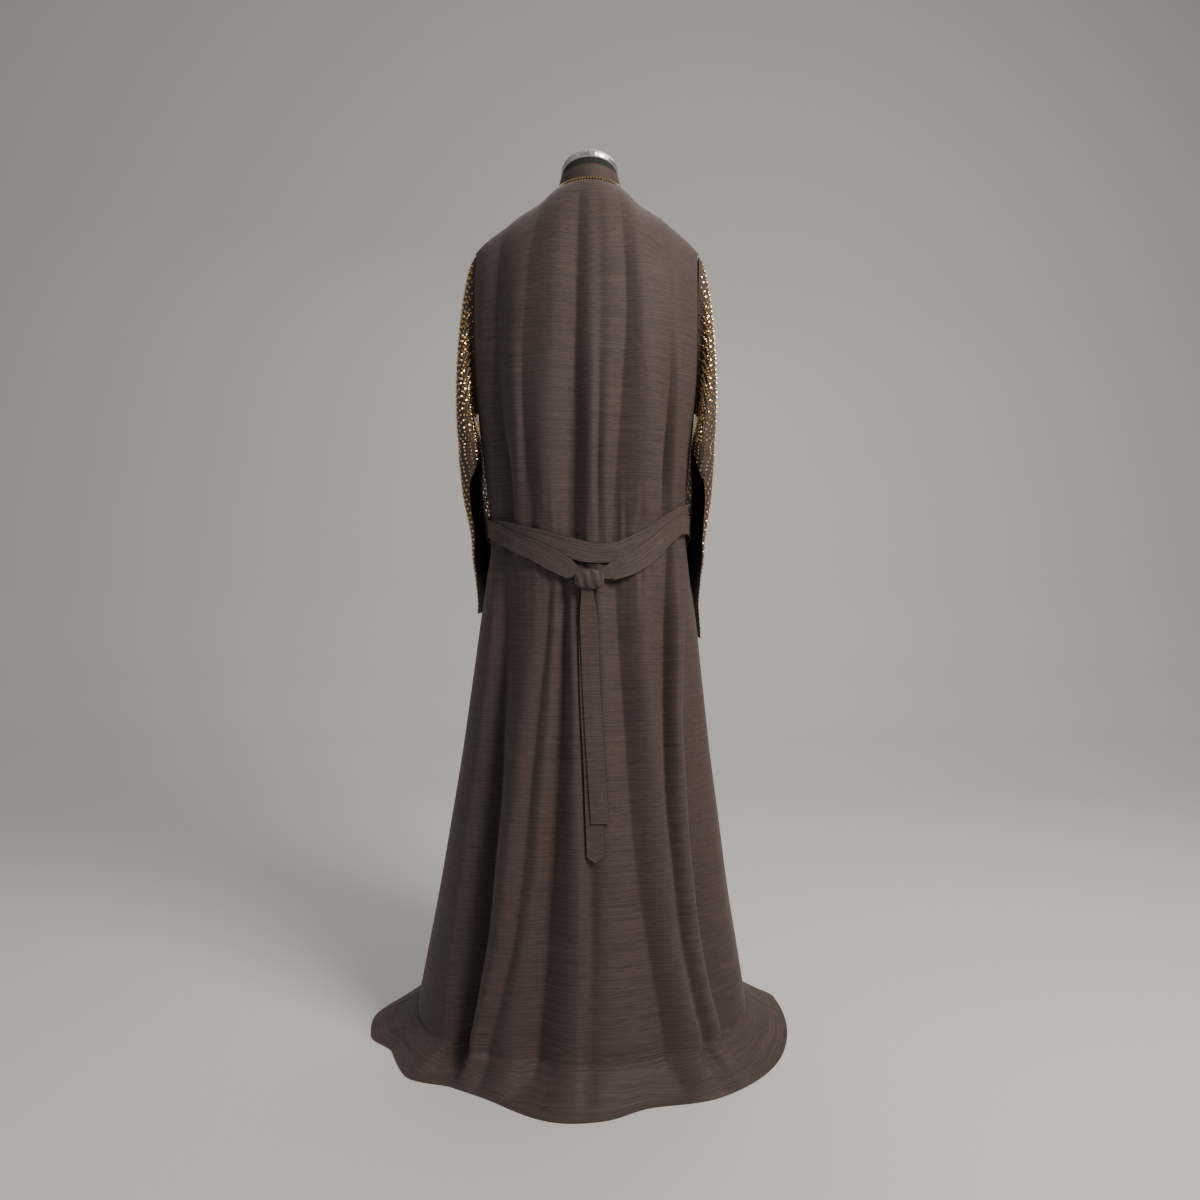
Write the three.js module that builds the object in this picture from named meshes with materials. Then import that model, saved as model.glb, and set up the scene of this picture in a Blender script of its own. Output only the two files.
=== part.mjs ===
// An abaya cloak in heavy crepe on a limbless dress form, worn closed and seen best from behind.
// The garment is cut as a back, two fronts, two slit sleeves, a stand collar, two belt loops and one long
// belt that is wound twice round the waist and tied at the back. The back has a short train on the floor.
// The form is a padded torso with a metal neck cap, a pole and a round foot. Sizes are in millimetres: +Y is
// the way the wearer faces, +X is the wearer's right, +Z is up, and the origin is on the floor under the pole.
import * as THREE from "three";

// ---- driving sizes ---------------------------------------------------------------------------------------
const CLOTH = 2; // wall of every cloth piece
const SEAM = 0.8; // gap between two pieces at a seam
const SQUARENESS = 2.3; // exponent of the body's sections: 2 is an ellipse, more is boxier

const BLADE_Z = 1200; // height where the shoulders have rounded over into the back
const TURN_Z = 40; // height where the skirt turns out on to the floor
const NECK = { radius: 54, back: 1442, side: 1440, front: 1421 }; // neckline where the collar is sewn on
const SHOULDER_TOP = 1338; // height of the shoulder corner
const NECK_TURN = 30; // how far round the body the neckline's columns reach

// Half of the armhole's opening, front to back, from the shoulder corner to the underarm.
const ARMHOLE = [
  { z: 1338, open: 1.6 },
  { z: 1327, open: 12 },
  { z: 1298, open: 22 },
  { z: 1254, open: 30 },
  { z: 1200, open: 33 },
  { z: 1146, open: 30 },
  { z: 1104, open: 23 },
  { z: 1074, open: 13 },
  { z: 1058, open: 1.2 },
];

const COLLAR = { foot: 53.2, top: 49, back: 1472, side: 1465, front: 1449 };
const BELT_WIDTH = 32;
const TAIL_WIDTH = 28;

// Sections of the body from the floor to the shoulder corner. left and right are half widths, back and front
// are depths from the pole.
const BODY = [
  { z: 0, left: 306, right: 282, back: 262, front: 214 },
  { z: 40, left: 300, right: 274, back: 250, front: 205 },
  { z: 116, left: 286, right: 261, back: 234, front: 192 },
  { z: 228, left: 264, right: 243, back: 212, front: 178 },
  { z: 348, left: 243, right: 227, back: 192, front: 164 },
  { z: 480, left: 221, right: 209, back: 170, front: 148 },
  { z: 593, left: 205, right: 197, back: 152, front: 134 },
  { z: 700, left: 190, right: 186, back: 136, front: 122 },
  { z: 795, left: 176, right: 172, back: 124, front: 114 },
  { z: 848, left: 170, right: 166, back: 119, front: 111 },
  { z: 910, left: 176, right: 168, back: 121, front: 116 },
  { z: 980, left: 184, right: 173, back: 124, front: 126 },
  { z: 1050, left: 192, right: 180, back: 125, front: 134 },
  { z: 1120, left: 197, right: 185, back: 124, front: 132 },
  { z: 1200, left: 199, right: 188, back: 119, front: 122 },
  { z: 1338, left: 197, right: 188, back: 112, front: 112 },
];

// The shoulder seam from the neckline to the shoulder corner, as shares of its run and its height.
const SHOULDER = [
  { run: 0, z: 1440 },
  { run: 0.08, z: 1429 },
  { run: 0.16, z: 1420 },
  { run: 0.3, z: 1409 },
  { run: 0.43, z: 1398 },
  { run: 0.62, z: 1379 },
  { run: 0.86, z: 1355 },
  { run: 1, z: 1338 },
];

// Hem on the floor: distance from the pole all the way round. Turn 0 is the centre back, 90 the right side.
const HEM = [
  { turn: -180, reach: 270 },
  { turn: -140, reach: 288 },
  { turn: -112, reach: 322 },
  { turn: -100, reach: 350 },
  { turn: -86, reach: 382 },
  { turn: -78, reach: 380 },
  { turn: -68, reach: 350 },
  { turn: -56, reach: 352 },
  { turn: -42, reach: 312 },
  { turn: -31, reach: 304 },
  { turn: -8, reach: 322 },
  { turn: 3, reach: 316 },
  { turn: 17, reach: 297 },
  { turn: 38, reach: 324 },
  { turn: 68, reach: 344 },
  { turn: 100, reach: 346 },
  { turn: 112, reach: 310 },
  { turn: 140, reach: 285 },
  { turn: 180, reach: 270 },
];

// Heights of the body's rows between the shoulder blades and the floor.
const ROW_Z = [
  1200, 1146, 1104, 1074, 1058, 1000, 950, 910, 880, 848, 816, 780, 720, 640, 540, 430, 320, 220, 130, 76, 40,
];

// Folds that run down the cloth. Each is a valley that dips in from the body's outline: x is where it lies
// across the cloth at each height of FOLD_Z, dip is how deep it is there and reach is half its width.
const FOLD_Z = [60, 200, 430, 650, 850, 1050, 1250];
const BACK_FOLDS = [
  { x: [-204, -184, -160, -144, -137, -153, -158], dip: [20, 30, 32, 28, 20, 14, 6], reach: 15 },
  { x: [-170, -150, -130, -114, -96, -104, -104], dip: [0, 0, 0, 5, 7, 3, 0], reach: 14 },
  { x: [-152, -114, -89, -65, -53, -53, -50], dip: [6, 10, 8, 7, 5, 2, 0], reach: 18 },
  { x: [-68, -65, -48, -41, -24, -22, -16], dip: [14, 20, 19, 16, 13, 7, 3], reach: 15 },
  { x: [30, 30, 30, 24, 20, 20, 20], dip: [0, 0, 4, 7, 6, 3, 0], reach: 9 },
  { x: [130, 90, 64, 46, 41, 56, 65], dip: [5, 10, 12, 13, 11, 6, 2], reach: 19 },
  { x: [176, 147, 131, 134, 131, 137, 146], dip: [8, 13, 17, 19, 18, 11, 4], reach: 14 },
  { x: [226, 190, 168, 150, 146, 156, 160], dip: [12, 20, 22, 10, 0, 0, 0], reach: 14 },
];
const FRONT_FOLDS = [
  { x: [-212, -190, -164, -142, -130, -146, -150], dip: [14, 20, 22, 17, 12, 6, 2], reach: 16 },
  { x: [-112, -96, -80, -66, -58, -70, -78], dip: [6, 11, 13, 12, 9, 4, 0], reach: 18 },
  { x: [124, 102, 84, 70, 60, 74, 80], dip: [7, 12, 14, 12, 9, 4, 0], reach: 17 },
  { x: [206, 186, 164, 142, 130, 138, 144], dip: [12, 20, 21, 17, 12, 6, 2], reach: 16 },
];

// A sleeve hanging beside the body: forward is how far its middle lies ahead of the side seam, deep is half
// its depth front to back, and inner and outer are its two layers' distances from the body's outline.
const SLEEVE_TOP_Z = 1010; // height where the sleeve has dropped off the armhole
const SLEEVE = [
  { z: 660, forward: 104, deep: 78, inner: 3.5, outer: 15 },
  { z: 718, forward: 94, deep: 77, inner: 3.5, outer: 15 },
  { z: 774, forward: 74, deep: 75, inner: 6, outer: 25 },
  { z: 822, forward: 52, deep: 72, inner: 13, outer: 36 },
  { z: 886, forward: 26, deep: 68, inner: 13.5, outer: 42 },
  { z: 925, forward: 15, deep: 65, inner: 13, outer: 44 },
  { z: 975, forward: 5, deep: 62, inner: 6, outer: 43 },
  { z: 1010, forward: 0, deep: 60, inner: 5, outer: 40 },
];
const SLEEVE_END = { left: 714, right: 670 };
// Where the sleeve's rear edge lies round its loop: 0 is next to the body, 90 is at the rear.
const SLIT = [
  { z: 660, edge: 112 },
  { z: 930, edge: 100 },
  { z: 963, edge: 92 },
  { z: 1000, edge: 50 },
  { z: 1024, edge: 3 },
  { z: 1030, edge: 0.8 },
];

// The belt's path from the knot out over the left: wound is how far round it has gone, in degrees, and out
// is its distance from the outline.
const BELT = [
  { wound: 6.6, z: 787, out: 6.8 },
  { wound: 13.7, z: 803, out: 6.8 },
  { wound: 25, z: 821, out: 6.6 },
  { wound: 44, z: 839, out: 6.6 },
  { wound: 63, z: 856, out: 6.6 },
  { wound: 75, z: 862.5, out: 6.6 },
  { wound: 92, z: 868, out: 6.6 },
  { wound: 120, z: 880, out: 5 },
  { wound: 148, z: 886, out: 3.6 },
  { wound: 212, z: 886, out: 3.6 },
  { wound: 268, z: 888, out: 3.6 },
  { wound: 296, z: 884, out: 3.6 },
  { wound: 312, z: 874, out: 3.6 },
  { wound: 328, z: 847, out: 3.6 },
  { wound: 339, z: 831, out: 3.6 },
  { wound: 346, z: 823, out: 3.6 },
  { wound: 356, z: 820, out: 3.6 },
  { wound: 372, z: 832, out: 3.6 },
  { wound: 387, z: 844, out: 3.6 },
  { wound: 423, z: 860, out: 3.6 },
  { wound: 452, z: 861, out: 3.6 },
  { wound: 480, z: 852, out: 3.6 },
  { wound: 508, z: 850, out: 3.6 },
  { wound: 572, z: 850, out: 3.6 },
  { wound: 600, z: 853, out: 5 },
  { wound: 628, z: 862, out: 6.6 },
  { wound: 644, z: 869, out: 6.6 },
  { wound: 656, z: 869, out: 6.6 },
  { wound: 672, z: 853, out: 6.6 },
  { wound: 687, z: 825, out: 6.6 },
  { wound: 697, z: 807, out: 6.6 },
  { wound: 706, z: 795, out: 6.8 },
  { wound: 713.4, z: 785, out: 6.8 },
];

// The tied ends that hang from the knot.
const END_FRONT = [
  { z: 760.8, x: -5, out: 9.5 },
  { z: 740, x: -3, out: 7.6 },
  { z: 600, x: 3, out: 6.8 },
  { z: 480, x: 10, out: 6.8 },
  { z: 396, x: 16, out: 6.8 },
];
const END_UNDER = [
  { z: 760, x: -2, out: 4.6 },
  { z: 700, x: -4, out: 3.4 },
  { z: 600, x: -2, out: 3.4 },
  { z: 480, x: 4, out: 3.4 },
  { z: 346, x: 9, out: 3.4 },
];
const KNOT = { x: -1, z: 778, half: 24, tall: 16, thick: 7.5, out: 12.6 };

// Sections of the padded torso.
const TORSO = [
  { z: 752, side: 112, back: 66, front: 60 },
  { z: 762, side: 126, back: 76, front: 70 },
  { z: 800, side: 136, back: 83, front: 78 },
  { z: 850, side: 130, back: 80, front: 78 },
  { z: 900, side: 118, back: 76, front: 80 },
  { z: 970, side: 121, back: 81, front: 98 },
  { z: 1050, side: 136, back: 92, front: 110 },
  { z: 1120, side: 146, back: 99, front: 112 },
  { z: 1200, side: 158, back: 101, front: 102 },
  { z: 1260, side: 170, back: 92, front: 84 },
  { z: 1300, side: 177, back: 77, front: 69 },
  { z: 1322, side: 176, back: 66, front: 59 },
  { z: 1336, side: 170, back: 60, front: 55 },
  { z: 1350, side: 158, back: 56, front: 52 },
  { z: 1364, side: 144, back: 53, front: 50 },
  { z: 1380, side: 122, back: 51, front: 48.5 },
  { z: 1395, side: 100, back: 49.5, front: 48 },
  { z: 1408, side: 78, back: 48.5, front: 47.6 },
  { z: 1420, side: 61, back: 48, front: 47.3 },
  { z: 1434, side: 50, back: 47.5, front: 47.2 },
  { z: 1450, side: 47.2, back: 47.2, front: 47.2 },
];
const CAP = { z: 1469, radius: 49, thick: 7, slope: 0.3 };
const POLE = { radius: 14, low: 14, high: 752 };
const FOOT = { radius: 150, rim: 6, high: 14 };

// ---- helpers ---------------------------------------------------------------------------------------------
const radians = (degrees) => (degrees * Math.PI) / 180;

// A smooth curve through table points: x values rising, one y for each.
function smooth(xs, ys, x) {
  if (x <= xs[0]) return ys[0];
  const last = xs.length - 1;
  if (x >= xs[last]) return ys[last];
  let i = 0;
  while (x > xs[i + 1]) i++;
  const slope = (j) => (ys[j + 1] - ys[j]) / (xs[j + 1] - xs[j]);
  const tangent = (j) => {
    if (j === 0) return slope(0);
    if (j === last) return slope(last - 1);
    const before = slope(j - 1);
    const after = slope(j);
    return before * after <= 0 ? 0 : (2 * before * after) / (before + after);
  };
  const span = xs[i + 1] - xs[i];
  const t = (x - xs[i]) / span;
  const rise = ys[i + 1] - ys[i];
  const m0 = tangent(i) * span;
  const m1 = tangent(i + 1) * span;
  return ys[i] + t * (m0 + t * (3 * rise - 2 * m0 - m1 + t * (m0 + m1 - 2 * rise)));
}

// A straight-line reading between the numbers of a list.
function straight(list, at) {
  const i = Math.min(list.length - 2, Math.floor(at));
  return list[i] + (list[i + 1] - list[i]) * (at - i);
}

// One column of a table, read at a value of its key column.
const read = (table, key, column, at) => smooth(table.map((r) => r[key]), table.map((r) => r[column]), at);

// Across and along shares of a section at a turn: 0 is the centre back, 90 the right side, 180 the centre front.
function share(turn, squareness = SQUARENESS) {
  const s = Math.sin(radians(turn));
  const c = Math.cos(radians(turn));
  const power = 2 / squareness;
  return [Math.sign(s) * Math.abs(s) ** power, Math.sign(c) * Math.abs(c) ** power];
}

const turnAtAcross = (across) =>
  (Math.sign(across) * Math.asin(Math.min(1, Math.abs(across)) ** (SQUARENESS / 2)) * 180) / Math.PI;
const turnAtAlong = (along) => (Math.acos(Math.min(1, Math.abs(along)) ** (SQUARENESS / 2)) * 180) / Math.PI;

// A closed body made from rings of points: every ring has the same number of points, and the first and last
// rings are capped.
function closedRings(rings) {
  const count = rings[0].length;
  const points = rings.flat();
  const index = [];
  for (let r = 0; r < rings.length - 1; r++) {
    for (let i = 0; i < count; i++) {
      const a = r * count + i;
      const b = r * count + ((i + 1) % count);
      index.push(a, b, b + count, a, b + count, a + count);
    }
  }
  for (const [ring, first] of [[rings[0], true], [rings[rings.length - 1], false]]) {
    const middle = ring.reduce((sum, p) => sum.add(p), new THREE.Vector3()).divideScalar(count);
    const hub = points.push(middle) - 1;
    const start = first ? 0 : (rings.length - 1) * count;
    for (let i = 0; i < count; i++) {
      const next = start + ((i + 1) % count);
      index.push(...(first ? [hub, next, start + i] : [hub, start + i, next]));
    }
  }
  return meshGeometry(points, index);
}

function meshGeometry(points, index) {
  const geometry = new THREE.BufferGeometry().setFromPoints(points);
  geometry.setIndex(index);
  geometry.computeVertexNormals();
  return geometry;
}

// A cloth wall: at(u, v) gives its middle surface for u and v from 0 to 1, and u cross v points outwards.
function clothWall(at, across, down) {
  const step = 1e-3;
  const outer = [];
  const inner = [];
  for (let j = 0; j <= down; j++) {
    for (let i = 0; i <= across; i++) {
      const u = i / across;
      const v = j / down;
      const du = at(Math.min(1, u + step), v).sub(at(Math.max(0, u - step), v));
      const dv = at(u, Math.min(1, v + step)).sub(at(u, Math.max(0, v - step)));
      const out = du.cross(dv).normalize().multiplyScalar(CLOTH / 2);
      const middle = at(u, v);
      outer.push(middle.clone().add(out));
      inner.push(middle.clone().sub(out));
    }
  }
  const wide = across + 1;
  const total = outer.length;
  const index = [];
  const quad = (a, b, c, d) => index.push(a, b, c, a, c, d);
  for (let j = 0; j < down; j++) {
    for (let i = 0; i < across; i++) {
      const a = j * wide + i;
      quad(a, a + 1, a + wide + 1, a + wide);
      quad(total + a, total + a + wide, total + a + wide + 1, total + a + 1);
    }
  }
  for (let i = 0; i < across; i++) {
    const top = i;
    const low = down * wide + i;
    quad(top, total + top, total + top + 1, top + 1);
    quad(low, low + 1, total + low + 1, total + low);
  }
  for (let j = 0; j < down; j++) {
    const left = j * wide;
    const right = left + across;
    quad(left, left + wide, total + left + wide, total + left);
    quad(right, total + right, total + right + wide, right + wide);
  }
  return meshGeometry([...outer, ...inner], index);
}

// ---- materials -------------------------------------------------------------------------------------------
const crepe = () => new THREE.MeshStandardMaterial({ color: 0x4a332d, roughness: 0.78, metalness: 0 });
const formCloth = () => new THREE.MeshStandardMaterial({ color: 0x15171b, roughness: 0.9, metalness: 0 });
const nickel = () => new THREE.MeshStandardMaterial({ color: 0xb9b7b0, roughness: 0.3, metalness: 1 });
const steel = () => new THREE.MeshStandardMaterial({ color: 0x8d8f92, roughness: 0.35, metalness: 1 });

const abaya = new THREE.Group();
function add(name, geometry, material) {
  const mesh = new THREE.Mesh(geometry, material);
  mesh.name = name;
  abaya.add(mesh);
}

// ---- body: back and fronts -------------------------------------------------------------------------------
// The smooth outline of the body, without its folds.
function outline(turn, z) {
  const [across, along] = share(turn);
  const depth = read(BODY, "z", along > 0 ? "back" : "front", z);
  const half = read(BODY, "z", across < 0 ? "left" : "right", z);
  return new THREE.Vector3(across * half, -along * depth, z);
}

function outward(turn, z) {
  const around = outline(turn + 0.4, z).sub(outline(turn - 0.4, z));
  const up = outline(turn, z + 4).sub(outline(turn, z - 4));
  return around.cross(up).normalize();
}

// How far all folds together dip in at a place on the body.
function foldDip(turn, x, z) {
  const folds = Math.abs(turn) <= 90 ? BACK_FOLDS : FRONT_FOLDS;
  const seamFade = Math.min(1, Math.abs(Math.abs(turn) - 90) / 14);
  return folds.reduce((sum, fold) => {
    const away = Math.abs(x - smooth(FOLD_Z, fold.x, z)) / fold.reach;
    return sum + smooth(FOLD_Z, fold.dip, z) * Math.exp(-(away ** 1.7)) * seamFade;
  }, 0);
}

function folded(turn, z) {
  const p = outline(turn, z);
  return p.addScaledVector(outward(turn, z), -foldDip(turn, p.x, z));
}

// A height that runs from the back of the neck over its sides to the front.
const roundNeck = (heights, along) =>
  heights.side + (along > 0 ? heights.back - heights.side : heights.front - heights.side) * along ** 2;

// The top edge: round the neckline, then out along the shoulder seam.
function topEdge(turn, face) {
  const away = Math.min(Math.abs(turn), 180 - Math.abs(turn));
  const side = Math.sign(turn);
  if (away <= NECK_TURN) {
    const round = radians((away / NECK_TURN) * 90);
    const y = NECK.radius * Math.cos(round);
    const z = roundNeck(NECK, -face * Math.cos(round));
    return new THREE.Vector3(side * NECK.radius * Math.sin(round), face * Math.max(y, SEAM / 2), z);
  }
  const corner = read(BODY, "z", side < 0 ? "left" : "right", SHOULDER_TOP);
  const first = share(NECK_TURN)[0];
  const run = (Math.abs(share(away)[0]) - first) / (1 - first);
  const x = NECK.radius + (corner - NECK.radius) * run;
  const apart = SEAM / 2 + 1.3 * run ** 6;
  return new THREE.Vector3(side * x, face * apart, read(SHOULDER, "run", "z", run));
}

// Rows of the body, as shares of its length: over the shoulder, down the skirt, and out on the floor.
const SHOULDER_SQUARENESS = 2.1; // how square the shoulder rounds over; less towards the neck
const CAP_ROWS = 4;
const FLOOR_ROWS = 3;
const BODY_ROWS = CAP_ROWS + ROW_Z.length - 1 + FLOOR_ROWS;
const CAP_END = CAP_ROWS / BODY_ROWS;
const DROP_END = 1 - FLOOR_ROWS / BODY_ROWS;

function bodyPoint(turn, v) {
  const face = Math.abs(turn) <= 90 ? -1 : 1;
  if (v < CAP_END) {
    const t = radians((90 * v) / CAP_END);
    const blade = folded(turn, BLADE_Z);
    const top = topEdge(turn, face);
    const square = SHOULDER_SQUARENESS - 0.5 * Math.max(0, 1 - Math.abs(top.x) / 150);
    const out = Math.sin(t) ** (2 / square);
    const up = Math.cos(t) ** (2 / square);
    return new THREE.Vector3(
      top.x + (blade.x - top.x) * out,
      top.y + (blade.y - top.y) * out,
      BLADE_Z + (top.z - BLADE_Z) * up,
    );
  }
  if (v < DROP_END) {
    const row = ((v - CAP_END) / (DROP_END - CAP_END)) * (ROW_Z.length - 1);
    return folded(turn, straight(ROW_Z, row));
  }
  const t = (v - DROP_END) / (1 - DROP_END);
  const start = folded(turn, TURN_Z);
  const plan = outline(turn, TURN_Z);
  const way = (Math.atan2(plan.x, -plan.y) * 180) / Math.PI;
  const reach = read(HEM, "turn", "reach", way);
  const hem = new THREE.Vector3(reach * Math.sin(radians(way)), -reach * Math.cos(radians(way)), CLOTH / 2);
  const z = hem.z + (TURN_Z - hem.z) * (1 - t) ** 2.4;
  return new THREE.Vector3(start.x + (hem.x - start.x) * t, start.y + (hem.y - start.y) * t, z);
}

// Half of the armhole's opening at a height; below the underarm it is the side seam's gap.
function opening(z) {
  const i = ARMHOLE.findIndex((r) => r.z <= z);
  if (i < 0) return SEAM / 2;
  if (i === 0) return ARMHOLE[0].open;
  const [above, below] = [ARMHOLE[i - 1], ARMHOLE[i]];
  return above.open + ((below.open - above.open) * (above.z - z)) / (above.z - below.z);
}

// How far round from the centre back or front a panel's side edge lies in row v.
function edgeTurn(v, face) {
  const key = face < 0 ? "back" : "front";
  const z = bodyPoint(90, v).z;
  if (v === 0) return 89.9;
  if (v >= CAP_END) return turnAtAlong(opening(z) / read(BODY, "z", key, z));
  const top = Math.abs(topEdge(89.9, face).y);
  const out = Math.sin(radians((90 * v) / CAP_END)) ** (2 / SHOULDER_SQUARENESS);
  return turnAtAlong((top + (opening(z) - top) / out) / read(BODY, "z", key, BLADE_Z));
}

function backPoint(u, v) {
  return bodyPoint((2 * u - 1) * edgeTurn(v, -1), v);
}

// side is -1 for the wearer's left and 1 for the right; u runs from the side seam to the centre front.
function frontPoint(side, u, v) {
  const seam = 180 - edgeTurn(v, 1);
  const half = read(BODY, "z", "left", bodyPoint(180, v).z);
  const centre = v < CAP_END ? 180 - 0.3 : 180 - turnAtAcross((0.6 * SEAM) / half);
  return bodyPoint(side * (seam + (centre - seam) * u), v);
}

add("back", clothWall((u, v) => backPoint(1 - u, v), 32, BODY_ROWS), crepe());
add("front_left", clothWall((u, v) => frontPoint(-1, u, v), 11, BODY_ROWS), crepe());
add("front_right", clothWall((u, v) => frontPoint(1, 1 - u, v), 11, BODY_ROWS), crepe());

// ---- sleeves ---------------------------------------------------------------------------------------------
// A place beside the body: ahead is how far forward of the side seam it is, out how far it stands off.
function beside(side, ahead, out, z) {
  const half = read(BODY, "z", side < 0 ? "left" : "right", z);
  return new THREE.Vector3(side * (half * (1 - 0.12 * (ahead / 100) ** 2) + out), ahead, z);
}

// The sleeve's loop: round is 0 next to the body, 90 at the rear, 180 outside and 270 at the front.
function sleeveLoop(side, round, z) {
  const [s, c] = share(round, 2.4);
  const inner = read(SLEEVE, "z", "inner", z);
  const outer = read(SLEEVE, "z", "outer", z);
  const ahead = read(SLEEVE, "z", "forward", z) - read(SLEEVE, "z", "deep", z) * s;
  return beside(side, ahead, (inner + outer) / 2 - ((outer - inner) / 2) * c, z);
}

// The sleeve's top edge, kept inside the armhole by the sleeve's own wall and the seam.
function armholePoint(side, round) {
  const high = SHOULDER_TOP - 5;
  const low = ARMHOLE[ARMHOLE.length - 1].z + 7;
  const z = (high + low) / 2 - ((high - low) / 2) * Math.cos(radians(round));
  const y = -27 * Math.sin(radians(round));
  const turn = turnAtAlong(y / read(BODY, "z", y < 0 ? "back" : "front", z));
  return new THREE.Vector3(outline(side * turn, z).x, y, z);
}

const SLEEVE_HEAD = 0.42; // share of the sleeve's rows that drop off the armhole

function sleevePoint(side, u, v) {
  const end = side < 0 ? SLEEVE_END.left : SLEEVE_END.right;
  const z = SLEEVE_TOP_Z + (end - SLEEVE_TOP_Z) * Math.max(0, (v - SLEEVE_HEAD) / (1 - SLEEVE_HEAD));
  const first = v < SLEEVE_HEAD ? 0.8 : read(SLIT, "z", "edge", z + 20 * (1 - u));
  const round = first + (359.2 - first) * u;
  if (v >= SLEEVE_HEAD) return sleeveLoop(side, round, z);
  const t = v / SLEEVE_HEAD;
  const from = armholePoint(side, round);
  const to = sleeveLoop(side, round, SLEEVE_TOP_Z);
  const drop = from.z - to.z;
  const leave = new THREE.Vector3(side * 60, 0, -0.15 * drop);
  const arrive = to.clone().sub(sleeveLoop(side, round, SLEEVE_TOP_Z + 10)).multiplyScalar(drop / 10);
  return new THREE.Vector3()
    .addScaledVector(from, 1 - 3 * t ** 2 + 2 * t ** 3)
    .addScaledVector(leave, t - 2 * t ** 2 + t ** 3)
    .addScaledVector(to, 3 * t ** 2 - 2 * t ** 3)
    .addScaledVector(arrive, t ** 3 - t ** 2);
}

add("sleeve_left", clothWall((u, v) => sleevePoint(-1, 1 - u, v), 16, 11), crepe());
add("sleeve_right", clothWall((u, v) => sleevePoint(1, u, v), 16, 11), crepe());

// ---- collar ----------------------------------------------------------------------------------------------
function collarPoint(u, v) {
  const turn = radians(179.6 - 359.2 * u);
  const along = Math.cos(turn);
  const foot = roundNeck(NECK, along) + CLOTH / 2 + 2 * SEAM;
  const radius = COLLAR.top + (COLLAR.foot - COLLAR.top) * v;
  const z = roundNeck(COLLAR, along) * (1 - v) + foot * v;
  return new THREE.Vector3(radius * Math.sin(turn), -radius * along, z);
}
add("collar", clothWall(collarPoint, 26, 2), crepe());

// ---- belt, its loops, knot and ends ----------------------------------------------------------------------
// A place on the outline, moved by a distance round the body and up it.
function onOutline(turn, z, round, up, out) {
  const p = outline(turn, z);
  const moved = turn + (round / Math.hypot(p.x, p.y)) * 57.3;
  return outline(moved, z + up).addScaledVector(outward(moved, z + up), out);
}

function beltPoint(u, v) {
  const wound = BELT[0].wound + (BELT[BELT.length - 1].wound - BELT[0].wound) * u;
  const column = (key, at = wound) => read(BELT, "wound", key, at);
  const turn = 180 - ((wound + 180) % 360);
  const middle = outline(turn, column("z"));
  const run = -radians(2) * Math.hypot(middle.x, middle.y);
  const rise = column("z", wound + 1) - column("z", wound - 1);
  const length = Math.hypot(run, rise);
  const side = (0.5 - v) * BELT_WIDTH;
  return onOutline(turn, column("z"), (side * rise) / length, (-side * run) / length, column("out"));
}
add("belt", clothWall(beltPoint, 116, 1), crepe());

// A loop of the same cloth at each side seam that the belt runs through.
const LOOP = [
  { z: 832, out: 3.3 },
  { z: 838, out: 3.6 },
  { z: 846, out: 10 },
  { z: 908, out: 10 },
  { z: 916, out: 3.6 },
  { z: 922, out: 3.3 },
];
for (const [name, side] of [["belt_loop_left", -1], ["belt_loop_right", 1]]) {
  const loopPoint = (u, v) => {
    const row = LOOP.length - 1 - v * (LOOP.length - 1);
    const steps = LOOP.map((_, i) => i);
    const z = smooth(steps, LOOP.map((r) => r.z), row);
    return beside(side, side * (7 - 14 * u) - 0.5, smooth(steps, LOOP.map((r) => r.out), row), z);
  };
  add(name, clothWall(loopPoint, 1, 10), crepe());
}

// The two ends lie on the skirt below the knot.
function endPoint(table, tip) {
  return (u, v) => {
    const low = table[table.length - 1].z;
    const z = table[0].z + (low - table[0].z) * v;
    const rows = [...table].reverse();
    const across = (0.5 - u) * TAIL_WIDTH;
    const x = read(rows, "z", "x", z) - across;
    const down = v * tip * (0.5 - Math.abs(u - 0.5));
    const turn = turnAtAcross(x / read(BODY, "z", x < 0 ? "left" : "right", z - down));
    const p = outline(turn, z - down);
    return p.addScaledVector(outward(turn, z - down), read(rows, "z", "out", z));
  };
}
add("belt_end_front", clothWall((u, v) => endPoint(END_FRONT, 0)(1 - u, v), 2, 11), crepe());
add("belt_end_under", clothWall((u, v) => endPoint(END_UNDER, 20)(1 - u, v), 2, 11), crepe());

const knotRings = [];
for (let i = 1; i < 10; i++) {
  const turn = radians((180 * i) / 10);
  const size = Math.sin(turn) ** 0.55;
  const middle = KNOT.x - KNOT.half * Math.cos(turn);
  const base = outline(0, KNOT.z).y - KNOT.out;
  knotRings.push(
    Array.from({ length: 14 }, (_, k) => {
      const [s, c] = share((360 * k) / 14, 2.4);
      return new THREE.Vector3(middle, base - KNOT.thick * size * c, KNOT.z - KNOT.tall * size * s);
    }),
  );
}
add("belt_knot", closedRings(knotRings), crepe());

// ---- dress form ------------------------------------------------------------------------------------------
const capPlane = (y) => CAP.z - CAP.slope * y;
const torsoRings = TORSO.map((row) =>
  Array.from({ length: 36 }, (_, k) => {
    const [s, c] = share(k * 10, 2 + Math.min(0.2, (row.side - 47) / 200));
    return new THREE.Vector3(row.side * s, -c * (c > 0 ? row.back : row.front), row.z);
  }),
);
const neckRing = (radius, lift) =>
  Array.from({ length: 36 }, (_, k) => {
    const [s, c] = share(k * 10, 2);
    return new THREE.Vector3(radius * s, -radius * c, capPlane(-radius * c) + lift);
  });
torsoRings.push(neckRing(47.2, 0));
add("form_torso", closedRings(torsoRings), formCloth());

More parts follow.
